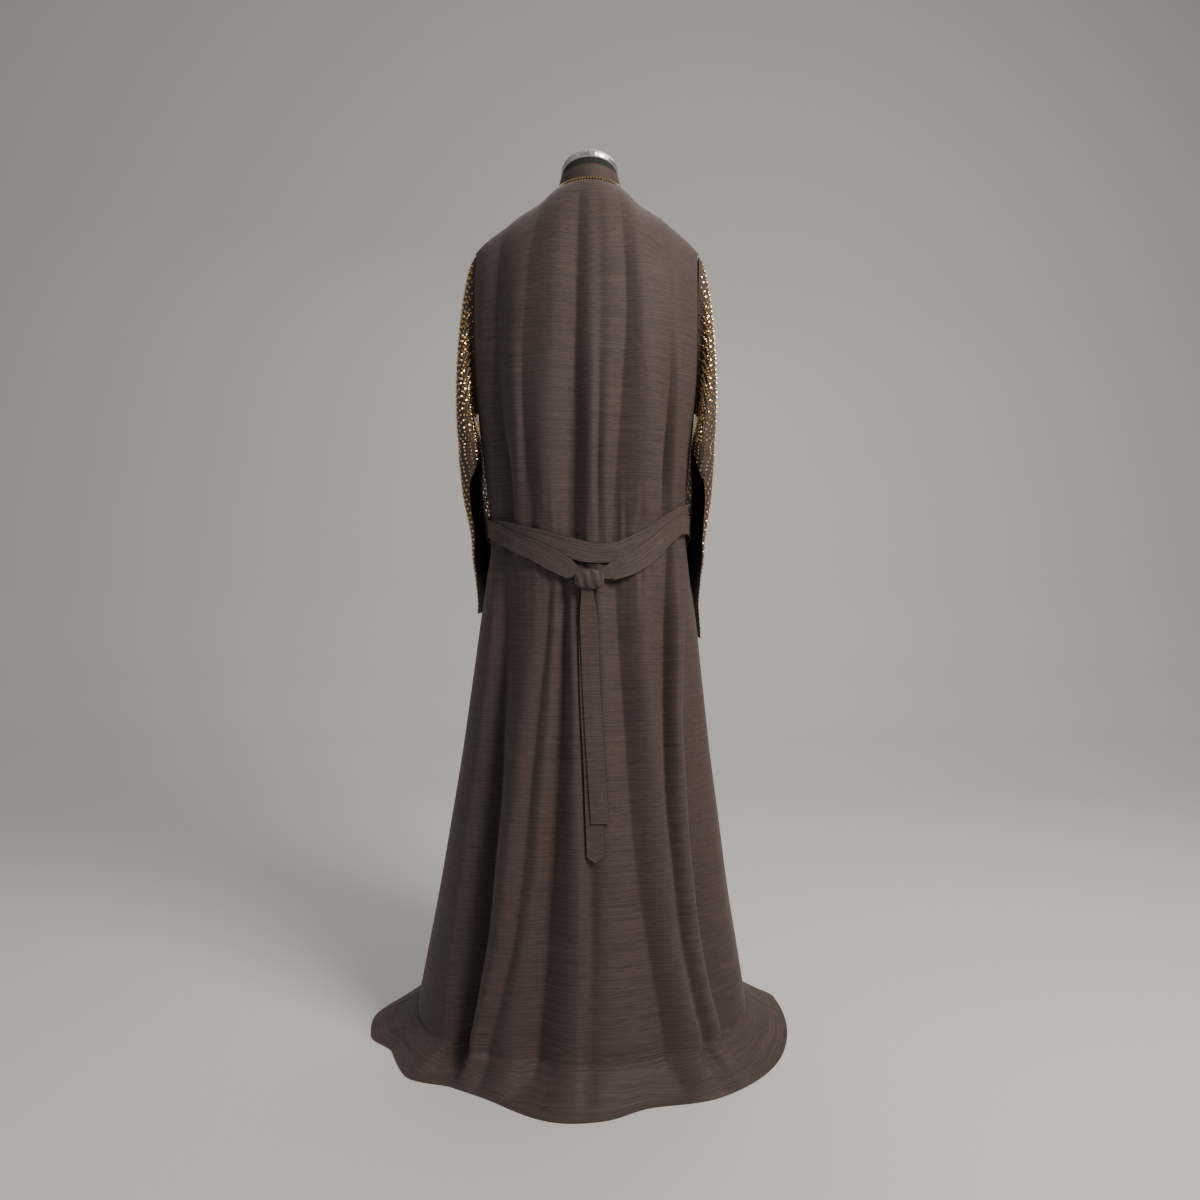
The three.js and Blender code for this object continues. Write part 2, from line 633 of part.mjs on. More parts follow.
const capRings = [neckRing(CAP.radius - 1.5, 0.3), neckRing(CAP.radius, 1.5), neckRing(CAP.radius, CAP.thick)];
for (const [radius, rise] of [[46, 13], [39, 18.5], [29, 22], [16, 23.8]]) capRings.push(neckRing(radius, rise));
add("form_neck_cap", closedRings(capRings), nickel());

const disc = (radius, z, count) =>
  Array.from({ length: count }, (_, k) => {
    const a = (2 * Math.PI * k) / count;
    return new THREE.Vector3(radius * Math.sin(a), -radius * Math.cos(a), z);
  });
add("form_pole", closedRings([disc(POLE.radius, POLE.low, 24), disc(POLE.radius, POLE.high, 24)]), steel());
add(
  "form_foot",
  closedRings([
    disc(FOOT.radius - 1, 0, 48),
    disc(FOOT.radius, 1, 48),
    disc(FOOT.radius, FOOT.rim, 48),
    disc(FOOT.radius - 6, FOOT.rim + 3, 48),
    disc(22, FOOT.high, 48),
  ]),
  steel(),
);

export default abaya;
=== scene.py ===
"""An abaya cloak in dark brown crepe on a limbless dress form, seen from behind.

Lengths in the tables are millimetres, and cloth_mesh turns them to metres. +Y is the way the wearer faces,
+X is the wearer's right, and the origin is on the floor under the form's pole.
"""

import math

import bpy
import numpy as np
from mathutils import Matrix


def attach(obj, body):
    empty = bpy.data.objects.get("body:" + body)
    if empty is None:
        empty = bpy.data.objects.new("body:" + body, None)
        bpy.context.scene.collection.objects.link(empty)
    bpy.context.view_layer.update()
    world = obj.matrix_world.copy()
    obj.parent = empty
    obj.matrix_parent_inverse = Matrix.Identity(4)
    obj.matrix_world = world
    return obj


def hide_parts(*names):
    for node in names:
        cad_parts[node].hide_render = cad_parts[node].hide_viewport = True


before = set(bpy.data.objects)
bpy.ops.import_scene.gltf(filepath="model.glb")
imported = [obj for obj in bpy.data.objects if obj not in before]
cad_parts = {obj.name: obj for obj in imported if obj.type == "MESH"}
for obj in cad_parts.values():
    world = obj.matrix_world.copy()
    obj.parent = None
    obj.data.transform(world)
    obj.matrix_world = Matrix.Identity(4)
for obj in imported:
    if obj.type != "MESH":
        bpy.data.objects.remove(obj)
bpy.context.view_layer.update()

MM = 0.001

# ---- camera ------------------------------------------------------------------------------------------------
# It stands behind the form at the height of the hips, 1.58 m from the pole, and looks very slightly down.
camera_data = bpy.data.cameras.new("camera")
camera_data.lens = 27
camera_data.sensor_width = 36
camera_data.shift_x = 0.0125
camera = bpy.data.objects.new("camera", camera_data)
camera.location = (-0.008, -1.58, 0.80)
camera.rotation_euler = (math.radians(90 - 2.2), 0, 0)
bpy.context.scene.collection.objects.link(camera)
bpy.context.scene.camera = camera

# ---- floor and light ---------------------------------------------------------------------------------------
# A plain pale floor that curves up into a wall, a large soft light at the upper right and a weak one at left.
def simple_material(name, colour, roughness, metallic=0.0):
    material = bpy.data.materials.new(name)
    material.use_nodes = True
    shader = material.node_tree.nodes["Principled BSDF"]
    shader.inputs["Base Color"].default_value = (*colour, 1)
    shader.inputs["Roughness"].default_value = roughness
    shader.inputs["Metallic"].default_value = metallic
    return material


SWEEP = [(-4.0, 0.0), (1.6, 0.0), (2.1, 0.08), (2.4, 0.3), (2.55, 0.7), (2.6, 1.3), (2.6, 4.0)]  # y, z
floor_points = [(x, y, z) for y, z in SWEEP for x in (-4.0, 4.0)]
floor_mesh = bpy.data.meshes.new("floor")
floor_faces = [(2 * i, 2 * i + 1, 2 * i + 3, 2 * i + 2) for i in range(len(SWEEP) - 1)]
floor_mesh.from_pydata(floor_points, [], floor_faces)
floor_mesh.shade_smooth()
floor = bpy.data.objects.new("floor", floor_mesh)
bpy.context.scene.collection.objects.link(floor)
floor_mesh.materials.append(simple_material("floor", (0.62, 0.6, 0.57), 0.7))

LIGHTS = [  # name, place, aimed at, size in metres, watts, colour
    ("key", (1.7, -1.5, 2.5), (0, 0, 0.9), 1.1, 92, (1.0, 0.95, 0.9)),
    ("fill", (-2.4, -2.0, 1.6), (0, 0, 0.7), 2.0, 9, (0.93, 0.96, 1.0)),
    ("top", (0.2, 0.9, 3.0), (0, 0, 1.2), 1.6, 26, (1.0, 0.98, 0.95)),
]
for name, place, aim, size, watts, colour in LIGHTS:
    light = bpy.data.lights.new(name, "AREA")
    light.size, light.energy, light.color = size, watts, colour
    lamp = bpy.data.objects.new(name, light)
    lamp.location = place
    way = np.array(aim) - np.array(place)
    lamp.rotation_euler = (math.acos(-way[2] / np.linalg.norm(way)), 0, math.atan2(-way[0], way[1]))
    bpy.context.scene.collection.objects.link(lamp)
world = bpy.data.worlds.new("studio")
world.use_nodes = True
world.node_tree.nodes["Background"].inputs["Color"].default_value = (0.9, 0.93, 1.0, 1)
world.node_tree.nodes["Background"].inputs["Strength"].default_value = 0.27
bpy.context.scene.world = world

# ---- crepe -------------------------------------------------------------------------------------------------
# Dark brown crepe: a fine crosswise slub, darker and lighter threads, a soft sheen and a faint pebble. The UV
# map of each piece is in metres: U runs along the crosswise threads and V down the cloth.
def node_group(name, outputs):
    group = bpy.data.node_groups.new(name, "ShaderNodeTree")
    for output, kind in outputs:
        group.interface.new_socket(output, in_out="OUTPUT", socket_type=kind)
    return group, group.nodes.new("NodeGroupOutput")


SLUB_MASKS = [(output, "NodeSocketFloat") for output in ("Thread", "Bump", "Patch")]
slub, slub_out = node_group("slub", SLUB_MASKS)
uv = slub.nodes.new("ShaderNodeUVMap")
uv.uv_map = "cloth"
SLUB_SCALES = [  # mask, scale along and across the threads, detail
    ("long", (9, 420, 1), 2.0), ("short", (60, 900, 1), 2.0), ("pebble", (900, 900, 1), 2.0), ("patch", (5, 7, 1), 3.0),
]
masks = {}
for name, scale, detail in SLUB_SCALES:
    mapping = slub.nodes.new("ShaderNodeMapping")
    mapping.inputs["Scale"].default_value = scale
    noise = slub.nodes.new("ShaderNodeTexNoise")
    noise.inputs["Scale"].default_value = 1.0
    noise.inputs["Detail"].default_value = detail
    slub.links.new(uv.outputs["UV"], mapping.inputs["Vector"])
    slub.links.new(mapping.outputs["Vector"], noise.inputs["Vector"])
    masks[name] = noise.outputs["Fac"]
thread = slub.nodes.new("ShaderNodeMath")
thread.operation = "ADD"
slub.links.new(masks["long"], thread.inputs[0])
slub.links.new(masks["short"], thread.inputs[1])
halved = slub.nodes.new("ShaderNodeMapRange")
halved.inputs["From Min"].default_value, halved.inputs["From Max"].default_value = 0.7, 1.3
slub.links.new(thread.outputs[0], halved.inputs["Value"])
slub.links.new(halved.outputs["Result"], slub_out.inputs["Thread"])
rough = slub.nodes.new("ShaderNodeMath")
rough.operation = "MULTIPLY_ADD"
rough.inputs[1].default_value = 0.5
slub.links.new(masks["pebble"], rough.inputs[0])
slub.links.new(thread.outputs[0], rough.inputs[2])
slub.links.new(rough.outputs[0], slub_out.inputs["Bump"])
slub.links.new(masks["patch"], slub_out.inputs["Patch"])


def crepe_material(name, dark, light):
    """Crepe whose colour runs between two shades with the threads."""
    material = bpy.data.materials.new(name)
    material.use_nodes = True
    nodes, links = material.node_tree.nodes, material.node_tree.links
    shader = nodes["Principled BSDF"]
    weave = nodes.new("ShaderNodeGroup")
    weave.node_tree = slub
    ramp = nodes.new("ShaderNodeValToRGB")
    ramp.color_ramp.elements[0].position, ramp.color_ramp.elements[0].color = 0.1, (*dark, 1)
    ramp.color_ramp.elements[1].position, ramp.color_ramp.elements[1].color = 0.9, (*light, 1)
    links.new(weave.outputs["Thread"], ramp.inputs["Fac"])
    links.new(ramp.outputs["Color"], shader.inputs["Base Color"])
    worn = nodes.new("ShaderNodeMapRange")
    worn.inputs["To Min"].default_value, worn.inputs["To Max"].default_value = 0.62, 0.8
    links.new(weave.outputs["Patch"], worn.inputs["Value"])
    links.new(worn.outputs["Result"], shader.inputs["Roughness"])
    bump = nodes.new("ShaderNodeBump")
    bump.inputs["Strength"].default_value = 0.35
    bump.inputs["Distance"].default_value = 0.0006
    links.new(weave.outputs["Bump"], bump.inputs["Height"])
    links.new(bump.outputs["Normal"], shader.inputs["Normal"])
    shader.inputs["Sheen Weight"].default_value = 0.14
    shader.inputs["Sheen Roughness"].default_value = 0.45
    shader.inputs["Sheen Tint"].default_value = (0.75, 0.6, 0.52, 1)
    shader.inputs["Specular IOR Level"].default_value = 0.3
    return material


crepe = crepe_material("crepe", (0.04, 0.026, 0.021), (0.078, 0.052, 0.043))
crepe_belt = crepe_material("crepe_belt", (0.044, 0.029, 0.024), (0.086, 0.059, 0.049))

# ---- cloth -------------------------------------------------------------------------------------------------
# Every cloth piece is a grid of points on its middle surface, given a wall of its own. Columns run along U.
WALL = 1.0  # thickness of the cloth


def grid_normals(points):
    across = np.gradient(points, axis=1)
    down = np.gradient(points, axis=0)
    normals = np.cross(across, down)
    return normals / np.maximum(np.linalg.norm(normals, axis=2, keepdims=True), 1e-9)


def cloth_mesh(name, points, material, wall=WALL):
    """A closed cloth piece from a grid of points in millimetres, whose columns cross rows points outwards."""
    rows, columns = points.shape[:2]
    normals = grid_normals(points)
    half_wall = normals * wall / 2
    corners = np.concatenate([(points + half_wall).reshape(-1, 3), (points - half_wall).reshape(-1, 3)])
    across = np.linalg.norm(np.diff(points, axis=1), axis=2).mean(0)
    down = np.linalg.norm(np.diff(points, axis=0), axis=2).mean(1)
    u, v = np.meshgrid(np.concatenate([[0], np.cumsum(across)]), np.concatenate([[0], np.cumsum(down)]))
    flat = np.stack([u.ravel(), v.ravel()], 1) * MM
    number = np.arange(rows * columns).reshape(rows, columns)
    a, b, c, d = number[:-1, :-1], number[:-1, 1:], number[1:, 1:], number[1:, :-1]
    outer = np.stack([a, b, c, d], -1).reshape(-1, 4)
    inner = outer[:, ::-1] + rows * columns
    rim = np.concatenate([number[0, ::-1], number[1:, 0], number[-1, 1:], number[-2:0:-1, -1]])
    ahead = np.roll(rim, -1)
    edge = np.stack([rim, rim + rows * columns, ahead + rows * columns, ahead], -1)[:, ::-1]
    faces = np.concatenate([outer, inner, edge[:, ::-1]])
    mesh = bpy.data.meshes.new(name)
    mesh.from_pydata((corners * MM).tolist(), [], faces.tolist())
    layer = mesh.uv_layers.new(name="cloth")
    loops = np.array([loop.vertex_index for loop in mesh.loops]) % (rows * columns)
    layer.data.foreach_set("uv", flat[loops].ravel())
    mesh.shade_smooth()
    mesh.materials.append(material)
    piece = bpy.data.objects.new(name, mesh)
    bpy.context.scene.collection.objects.link(piece)
    return piece


def keep(piece, slot, *nodes):
    """A finished piece that stands for these CAD nodes."""
    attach(piece, "root")
    if nodes:
        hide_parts(*nodes)


def curve(xs, ys, at):
    """A smooth curve through table points that never overshoots them."""
    xs, ys, at = np.asarray(xs, float), np.asarray(ys, float), np.clip(at, xs[0], xs[-1])
    slope = np.diff(ys) / np.diff(xs)
    both = slope[:-1] * slope[1:]
    inner = np.where(both > 0, 2 * both / np.where(both > 0, slope[:-1] + slope[1:], 1), 0)
    tangent = np.concatenate([slope[:1], inner, slope[-1:]])
    i = np.clip(np.searchsorted(xs, at) - 1, 0, len(xs) - 2)
    span = xs[i + 1] - xs[i]
    t = (at - xs[i]) / span
    rise = ys[i + 1] - ys[i]
    first, last = tangent[i] * span, tangent[i + 1] * span
    return ys[i] + t * (first + t * (3 * rise - 2 * first - last + t * (first + last - 2 * rise)))


def wavy(u, v, scale_u, scale_v, seed):
    """Smooth irregular waves from a few sines, between about -1 and 1."""
    draw = np.random.default_rng(seed)
    total = np.zeros(np.broadcast(u, v).shape)
    for _ in range(9):
        across = u * draw.uniform(0.5, 1.6) * scale_u
        total += np.sin(across + v * draw.uniform(-1, 1) * scale_v + draw.uniform(0, 6.3))
    return total / 4


# ---- the body of the garment: back and fronts ---------------------------------------------------------------
# The back is one panel from the collar to the train. The two fronts meet at the centre front. They are sewn
# together along the shoulders and the sides, and hang in soft folds from the shoulders and from the belt.
SQUARENESS = 2.3
BLADE_Z, SHOULDER_Z, TURN_Z = 1200, 1338, 40
BODY_Z = [0, 40, 116, 228, 348, 480, 593, 700, 795, 848, 910, 980, 1050, 1120, 1200, 1338]
BODY = {
    "left": [306, 300, 286, 264, 243, 221, 205, 190, 176, 170, 176, 184, 192, 197, 199, 197],
    "right": [282, 274, 261, 243, 227, 209, 197, 186, 172, 166, 168, 173, 180, 185, 188, 188],
    "back": [262, 250, 234, 212, 192, 170, 152, 136, 124, 119, 121, 124, 125, 124, 119, 112],
    "front": [214, 205, 192, 178, 164, 148, 134, 122, 114, 111, 116, 126, 134, 132, 122, 112],
}
NECK_R, NECK_TURN = 54, 30
SHOULDER = ([0, 0.08, 0.16, 0.3, 0.43, 0.62, 0.86, 1], [1440, 1429, 1420, 1409, 1398, 1379, 1355, 1338])
ARMHOLE = ([1058, 1074, 1104, 1146, 1200, 1254, 1298, 1327, 1338], [1.2, 13, 23, 30, 33, 30, 22, 12, 1.6])
HEM = (
    [-180, -140, -112, -100, -86, -78, -68, -56, -42, -31, -8, 3, 17, 38, 68, 100, 112, 140, 180],
    [270, 288, 322, 350, 382, 380, 350, 352, 312, 304, 322, 316, 297, 324, 344, 346, 310, 285, 270],
)

# Folds: each line runs down the cloth at x for each height, and stands out (+) or in (-) by depth.
SKIRT_Z = [60, 130, 220, 320, 440, 560, 680, 790]
SKIRT = [  # x, depth
    ([-236, -234, -224, -212, -196, -181, -168, -162], [0, 0, 0, 0, 0, 0, 0, 0]),
    ([-206, -202, -191, -183, -171, -162, -151, -147], [-34, -38, -40, -38, -34, -28, -18, -8]),
    ([-181, -161, -142, -131, -117, -106, -92, -84], [4, 4, 4, 4, 3, 2, 1, 0]),
    ([-160, -140, -120, -107, -96, -84, -71, -63], [-7, -7, -6, -5, -5, -4, -4, -3]),
    ([-127, -118, -103, -88, -78, -68, -60, -53], [0, -1, -1, -1, 0, 0, 0, 0]),
    ([-84, -76, -70, -62, -54, -47, -43, -40], [-20, -20, -20, -19, -17, -15, -12, -8]),
    ([-24, -18, -16, -18, -22, -24, -28, -30], [6, 6, 6, 5, 4, 3, 2, 0]),
    ([-4, -2, 0, 0, -1, -3, -4, -6], [0, 0, -3, -4, -6, -7, -7, -4]),
    ([22, 22, 22, 20, 19, 17, 14, 12], [4, 4, 3, 2, 1, 0, 0, 0]),
    ([118, 106, 90, 75, 63, 55, 46, 40], [-12, -12, -11, -10, -10, -11, -10, -8]),
    ([163, 145, 128, 119, 109, 97, 87, 83], [6, 6, 5, 5, 5, 5, 4, 2]),
    ([186, 168, 150, 140, 132, 131, 136, 139], [-13, -14, -14, -15, -18, -20, -22, -15]),
    ([204, 187, 170, 160, 152, 146, 150, 154], [0, -2, -2, -2, -2, 0, 0, 0]),
    ([226, 211, 194, 181, 172, 162, 162, 164], [-16, -19, -20, -18, -14, -9, -3, 0]),
]
BODICE_Z = [800, 900, 960, 1030, 1100, 1170, 1240, 1320]
BODICE = [
    ([-168, -172, -176, -180, -184, -186, -186, -184], [0, 0, 0, 0, 0, 0, 0, 0]),
    ([-138, -143, -150, -158, -161, -160, -166, -170], [-16, -19, -21, -18, -14, -11, -8, -3]),
    ([-112, -116, -118, -119, -122, -124, -112, -100], [0, 0, 1, 1, 0, 0, 0, 0]),
    ([-96, -99, -105, -109, -111, -110, -100, -90], [-4, -5, -6, -4, -3, -2, -1, 0]),
    ([-70, -72, -76, -78, -75, -68, -60, -54], [2, 3, 3, 3, 3, 2, 1, 0]),
    ([-28, -27, -25, -24, -25, -24, -20, -16], [-11, -13, -14, -12, -10, -7, -4, 0]),
    ([1, 3, 3, 3, 3, 2, 0, 0], [2, 3, 3, 3, 2, 2, 1, 0]),
    ([14, 13, 12, 13, 14, 16, 18, 18], [-4, -4, -4, -3, -2, -1, 0, 0]),
    ([24, 24, 24, 26, 27, 28, 28, 28], [-1, 0, 0, 0, 0, 0, 0, 0]),
    ([36, 38, 43, 48, 53, 58, 61, 62], [-7, -8, -9, -8, -7, -5, -3, 0]),
    ([92, 96, 104, 104, 96, 89, 84, 80], [4, 5, 5, 5, 4, 3, 2, 0]),
    ([130, 131, 134, 136, 137, 134, 129, 127], [-13, -15, -18, -15, -10, -5, -2, 0]),
    ([150, 148, 148, 150, 152, 150, 150, 150], [0, -1, -1, -1, 0, 0, 0, 0]),
]
FRONT_Z = [60, 220, 440, 680, 830, 1000, 1150, 1300]
FRONT = [
    ([-200, -184, -160, -140, -130, -142, -150, -150], [-24, -26, -24, -16, -12, -8, -4, 0]),
    ([-150, -134, -116, -96, -90, -104, -110, -110], [4, 4, 3, 2, 0, 0, 0, 0]),
    ([-104, -92, -78, -64, -58, -68, -76, -78], [-14, -14, -13, -11, -8, -4, -2, 0]),
    ([-58, -50, -40, -32, -28, -34, -40, -40], [4, 4, 3, 2, 1, 1, 0, 0]),
    ([0, 0, 0, 0, 0, 0, 0, 0], [0, 0, 0, 0, 0, 0, 0, 0]),
    ([60, 54, 44, 36, 30, 36, 42, 42], [4, 4, 3, 2, 1, 1, 0, 0]),
    ([108, 96, 80, 66, 60, 70, 78, 80], [-15, -15, -13, -11, -8, -4, -2, 0]),
    ([152, 136, 116, 98, 92, 102, 108, 108], [4, 4, 3, 2, 0, 0, 0, 0]),
    ([196, 178, 158, 138, 130, 138, 144, 144], [-22, -24, -22, -15, -11, -8, -4, 0]),
]


def share(turn, squareness=SQUARENESS):
    s, c = np.sin(np.radians(turn)), np.cos(np.radians(turn))
    return np.sign(s) * np.abs(s) ** (2 / squareness), np.sign(c) * np.abs(c) ** (2 / squareness)


def turn_at_along(along):
    return np.degrees(np.arccos(np.minimum(1, np.abs(along)) ** (SQUARENESS / 2)))


def body(key, z):
    return curve(BODY_Z, BODY[key], z)


def outline(turn, z):
    across, along = share(turn)
    half = np.where(across < 0, body("left", z), body("right", z))
    depth = np.where(along > 0, body("back", z), body("front", z))
    return np.stack(np.broadcast_arrays(across * half, -along * depth, z), -1)


def outward(turn, z):
    around = outline(turn + 0.4, z) - outline(turn - 0.4, z)
    up = outline(turn, z + 4) - outline(turn, z - 4)
    normal = np.cross(around, up)
    return normal / np.linalg.norm(normal, axis=-1, keepdims=True)


def relief(x, z, heights, folds):
    """How far the folds stand out at each place: rows share one height."""
    out = np.zeros(np.broadcast(x, z).shape)
    for row in range(out.shape[0]):
        level = z[row, 0]
        at = np.array([curve(heights, f[0], level) for f in folds])
        depth = np.array([curve(heights, f[1], level) for f in folds])
        at = np.concatenate([[at[0] - 40], at, [at[-1] + 40]])
        depth = np.concatenate([[0], depth, [0]])
        i = np.clip(np.searchsorted(at, x[row]) - 1, 0, len(at) - 2)
        t = np.clip((x[row] - at[i]) / (at[i + 1] - at[i]), 0, 1)
        falling = depth[i + 1] < depth[i]
        from_ridge = np.where(falling, t, 1 - t)
        soft = from_ridge**2 * (3 - 2 * from_ridge)
        drop = 0.6 * soft + 0.4 * from_ridge**2.6
        high, low = np.maximum(depth[i], depth[i + 1]), np.minimum(depth[i], depth[i + 1])
        out[row] = high + (low - high) * drop
    return out


def fold_height(turn, z, x):
    """The folds of the back or the fronts, with fine gathers above and below the belt."""
    if np.abs(turn).mean() < 90:
        low, high = relief(x, z, SKIRT_Z, SKIRT), relief(x, z, BODICE_Z, BODICE)
        mix = np.clip((z - 790) / 60, 0, 1)
        folds = low + (high - low) * mix * mix * (3 - 2 * mix)
    else:
        folds = relief(x, z, FRONT_Z, FRONT)
    seam = np.clip(np.abs(np.abs(turn) - 90) / 12, 0, 1)
    gather = np.exp(-(((z - 838) / 75) ** 2))
    fine = wavy(x, z, 0.34, 0.012, 5) * 1.5 * gather
    long_waves = wavy(x, z, 0.075, 0.006, 8) * 0.9 + wavy(x, z, 0.03, 0.03, 9) * 0.7
    under_belt = np.exp(-(((z - 845) / 40) ** 4))
    stand = folds * 1.25 + fine + long_waves
    return (stand + (np.minimum(stand, 1.6) - stand) * under_belt) * seam


def top_edge(turn, face):
    away = np.minimum(np.abs(turn), 180 - np.abs(turn))
    side = np.sign(turn)
    on_neck = away <= NECK_TURN
    round_neck = np.radians(np.minimum(away, NECK_TURN) / NECK_TURN * 90)
    neck = [side * NECK_R * np.sin(round_neck), face * np.maximum(NECK_R * np.cos(round_neck), 0.4)]
    along = -face * np.cos(round_neck)
    neck.append(np.where(along > 0, 1440 + 2 * along**2, 1440 - 19 * along**2))
    corner = np.where(side < 0, body("left", SHOULDER_Z), body("right", SHOULDER_Z))
    first = share(NECK_TURN)[0]
    run = np.clip((np.abs(share(away)[0]) - first) / (1 - first), 0, 1)
    seam = [side * (NECK_R + (corner - NECK_R) * run), face * (0.4 + 1.3 * run**6), curve(*SHOULDER, run)]
    return [np.where(on_neck, n, s) for n, s in zip(neck, seam)]


def body_panel(face, edges, columns, rows=(34, 150, 36)):
    """Rows over the shoulder, down the body and out on the floor; edges are the panel's two side turns."""
    cap, drop, train = rows
    share_across = np.linspace(0, 1, columns)[None, :]

    def turns(side_turn):
        return edges[0](side_turn) + (edges[1](side_turn) - edges[0](side_turn)) * share_across

    key = "back" if face < 0 else "front"

    blade_z = np.full((1, 1), float(BLADE_Z))
    sweep = np.radians(np.linspace(0, 90, cap, endpoint=False))[:, None]
    out_side = np.sin(sweep) ** (2 / 2.1)
    z_side = BLADE_Z + (SHOULDER_Z - BLADE_Z) * np.cos(sweep) ** (2 / 2.1)
    hole = np.interp(z_side, *ARMHOLE)
    wanted = (1.7 + (hole - 1.7) / np.maximum(out_side, 0.05)) / body(key, BLADE_Z)
    side_turn = np.where(sweep == 0, 89.9, turn_at_along(np.clip(wanted, 0, 1)))
    turn = turns(side_turn)
    top = top_edge(turn, face)
    flat_z = np.full(turn.shape, float(BLADE_Z))
    smooth = outline(turn, flat_z)
    blade = smooth + outward(turn, flat_z) * fold_height(turn, flat_z, smooth[..., 0])[..., None]
    square = 2.1 - 0.5 * np.maximum(0, 1 - np.abs(top[0]) / 150)
    out, up = np.sin(sweep) ** (2 / square), np.cos(sweep) ** (2 / square)
    shoulder = np.stack([
        top[0] + (blade[..., 0] - top[0]) * out,
        top[1] + (blade[..., 1] - top[1]) * out,
        BLADE_Z + (top[2] - BLADE_Z) * up,
    ], -1)

    z = np.linspace(BLADE_Z, TURN_Z, drop)[:, None]
    hole = np.where(z > 1058, np.interp(z, *ARMHOLE), 0.4)
    turn = turns(turn_at_along(hole / body(key, z)))
    z = z + np.zeros_like(turn)
    smooth = outline(turn, z)
    hang = smooth + outward(turn, z) * fold_height(turn, z, smooth[..., 0])[..., None]

    start, plan = hang[-1:], smooth[-1:]
    way = np.degrees(np.arctan2(plan[..., 0], -plan[..., 1]))
    reach = curve(*HEM, way)
    hem = np.stack([reach * np.sin(np.radians(way)), -reach * np.cos(np.radians(way))], -1)
    t = np.linspace(0, 1, train + 1)[1:, None]
    flat_out = start[..., :2] + (hem - start[..., :2]) * t[..., None]
    stand = fold_height(turn[-1:], z[-1:], plan[..., 0])
    ripple = np.clip(stand + 10, 0, 30) * np.sin(np.pi * np.minimum(1, t * 0.9 + 0.1)) ** 1.2
    wrinkle = 2.2 * (1 + wavy(flat_out[..., 0], flat_out[..., 1], 0.05, 0.05, 21)) * np.sin(np.pi * t)
    height = WALL + (TURN_Z - WALL) * (1 - t) ** 2.3 + 0.8 * ripple + wrinkle
    train_points = np.concatenate([flat_out, height[..., None]], -1)
    return np.concatenate([shoulder, hang, train_points])


back_grid = body_panel(-1, (lambda s: s, lambda s: -s), 230)
back = cloth_mesh("abaya_back", back_grid, crepe)
keep(back, "crepe", "back")

left_grid = body_panel(1, (lambda s: s - 180, lambda s: -179.9 + 0 * s), 110)
right_grid = body_panel(1, (lambda s: 179.9 + 0 * s, lambda s: 180 - s), 110)
front_left = cloth_mesh("abaya_front_left", left_grid, crepe)
front_right = cloth_mesh("abaya_front_right", right_grid, crepe)
for piece, node in ((front_left, "front_left"), (front_right, "front_right")):
    keep(piece, "crepe", node)

# ---- sleeves -----------------------------------------------------------------------------------------------
# Each sleeve hangs empty from its armhole, is sewn closed at the rear as far as a slit, and open below it.
SLEEVE_TOP_Z = 1010
SLEEVE_Z = [660, 718, 774, 822, 886, 925, 975, 1010]
SLEEVE = {
    "forward": [104, 94, 74, 52, 26, 15, 5, 0],
    "deep": [78, 77, 75, 72, 68, 65, 62, 60],
    "inner": [3.5, 3.5, 6, 13, 13.5, 13, 6, 5],
    "outer": [15, 15, 25, 36, 42, 44, 43, 40],
}
SLIT = ([660, 930, 963, 1000, 1024, 1030], [112, 100, 92, 50, 3, 0.8])
SLEEVE_END = {-1: 714, 1: 670}


def beside(side, ahead, out, z):
    half = body("left" if side < 0 else "right", z)
    return np.stack(np.broadcast_arrays(side * (half * (1 - 0.12 * (ahead / 100) ** 2) + out), ahead, z), -1)


def sleeve_loop(side, around, z):
    s, c = share(around, 2.4)
    inner, outer = curve(SLEEVE_Z, SLEEVE["inner"], z), curve(SLEEVE_Z, SLEEVE["outer"], z)
    ahead = curve(SLEEVE_Z, SLEEVE["forward"], z) - curve(SLEEVE_Z, SLEEVE["deep"], z) * s
    outside = np.clip((around - 100) / 40, 0, 1) * np.clip((300 - around) / 40, 0, 1)
    soft = 1.6 * wavy(ahead, z, 0.06, 0.012, 31 + side) * outside
    return beside(side, ahead, (inner + outer) / 2 - (outer - inner) / 2 * c + soft, z)


def sleeve_points(side, columns=110, rows=(44, 66)):
    u = np.linspace(0, 1, columns)[None, :]
    t = np.linspace(0, 1, rows[0], endpoint=False)[:, None]
    around = 0.8 + 358.4 * u
    high, low = SHOULDER_Z - 5, ARMHOLE[0][0] + 7
    z = (high + low) / 2 - (high - low) / 2 * np.cos(np.radians(around))
    y = -27 * np.sin(np.radians(around))
    turn = turn_at_along(y / np.where(y < 0, body("back", z), body("front", z)))
    start = np.stack([outline(side * turn, z)[..., 0], y, z], -1)
    flat_z = np.full(around.shape, float(SLEEVE_TOP_Z))
    end = sleeve_loop(side, around, flat_z)
    fall = start[..., 2:] - end[..., 2:]
    leave = np.concatenate([np.full_like(fall, side * 60.0), 0 * fall, -0.15 * fall], -1)
    arrive = (end - sleeve_loop(side, around, flat_z + 10)) * fall / 10
    t = t[..., None]
    head = start * (1 - 3 * t**2 + 2 * t**3) + leave * (t - 2 * t**2 + t**3)
    head = head + end * (3 * t**2 - 2 * t**3) + arrive * (t**3 - t**2)
    z = np.linspace(SLEEVE_TOP_Z, SLEEVE_END[side], rows[1])[:, None] + 0 * u
    first = np.interp(z + 20 * (1 - u), *SLIT)
    drape = sleeve_loop(side, first + (359.2 - first) * u, z)
    grid = np.concatenate([head, drape])
    return grid[:, ::-1] if side > 0 else grid


sleeves = {}
for side, name in ((-1, "sleeve_left"), (1, "sleeve_right")):
    grid = sleeve_points(side)
    sleeves[side] = grid
    piece = cloth_mesh("abaya_" + name, grid, crepe)
    keep(piece, "crepe", name)

